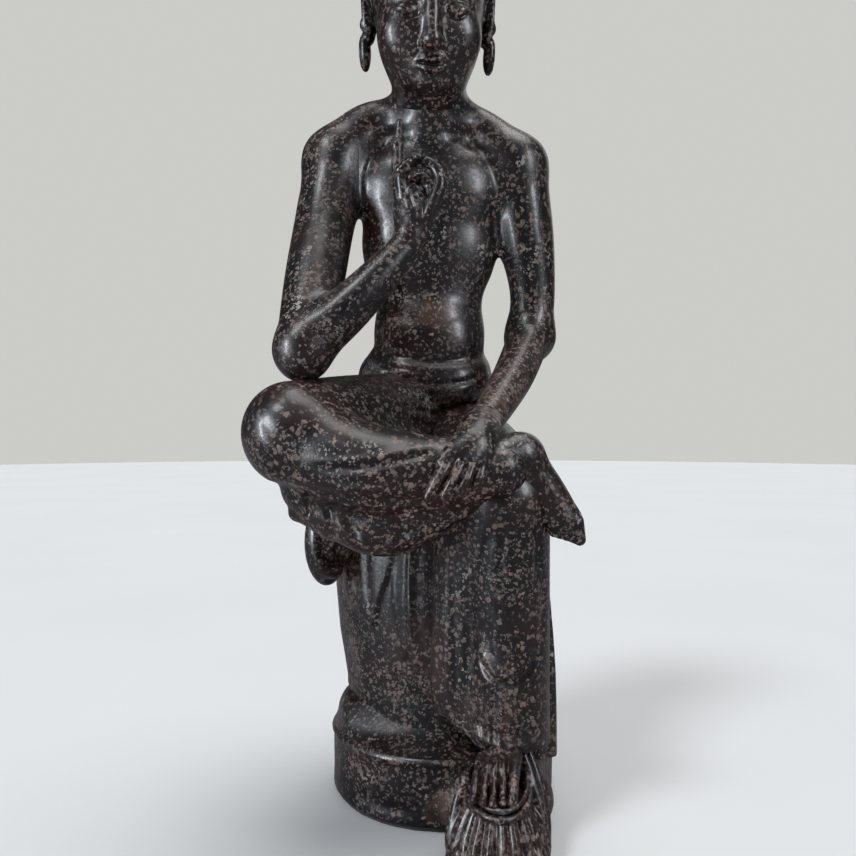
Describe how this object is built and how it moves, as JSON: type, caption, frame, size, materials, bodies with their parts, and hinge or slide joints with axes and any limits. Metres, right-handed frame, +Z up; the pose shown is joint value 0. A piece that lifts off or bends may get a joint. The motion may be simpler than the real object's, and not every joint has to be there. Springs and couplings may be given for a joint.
{
  "type": "buddha statue",
  "caption": "Seated pensive figure on a draped stool and round plinth, one leg crossed, one hand raised to the chin, one foot on a lotus rest.",
  "frame": {"origin": "centre of the round felt pad's underside, on the surface that the statue stands on", "axes": "the figure faces -Y, +Z is up, and +X is the figure's left"},
  "size_m": [0.0884, 0.0993, 0.2576],
  "materials": {
    "patinated_bronze": "cast bronze with a dark brown lacquered patina, glossy, densely flecked with light tan",
    "plated_steel": "zinc plated",
    "felt": "matt green felt"
  },
  "bodies": {
    "root": {"base_plate": "plated_steel", "base_plate_screw_1": "plated_steel", "base_plate_screw_2": "plated_steel", "base_plate_screw_3": "plated_steel", "crossed_leg": "patinated_bronze", "crown": "patinated_bronze", "crown_dowel": "plated_steel", "felt_pad": "felt", "head": "patinated_bronze", "left_elbow_dowel": "plated_steel", "left_foot": "patinated_bronze", "left_forearm": "patinated_bronze", "left_hand": "patinated_bronze", "left_leg": "patinated_bronze", "left_robe_end": "patinated_bronze", "left_shoulder_dowel": "plated_steel", "left_upper_arm": "patinated_bronze", "left_wrist_dowel": "plated_steel", "lotus_footrest": "patinated_bronze", "neck_dowel": "plated_steel", "plinth": "patinated_bronze", "right_elbow_dowel": "plated_steel", "right_foot": "patinated_bronze", "right_forearm": "patinated_bronze", "right_hand": "patinated_bronze", "right_robe_end": "patinated_bronze", "right_shoulder_dowel": "plated_steel", "right_upper_arm": "patinated_bronze", "right_wrist_dowel": "plated_steel", "seat": "patinated_bronze", "tie_rod": "plated_steel", "tie_rod_nut": "plated_steel", "tie_rod_washer": "plated_steel", "torso": "patinated_bronze"}
  },
  "joints": []
}
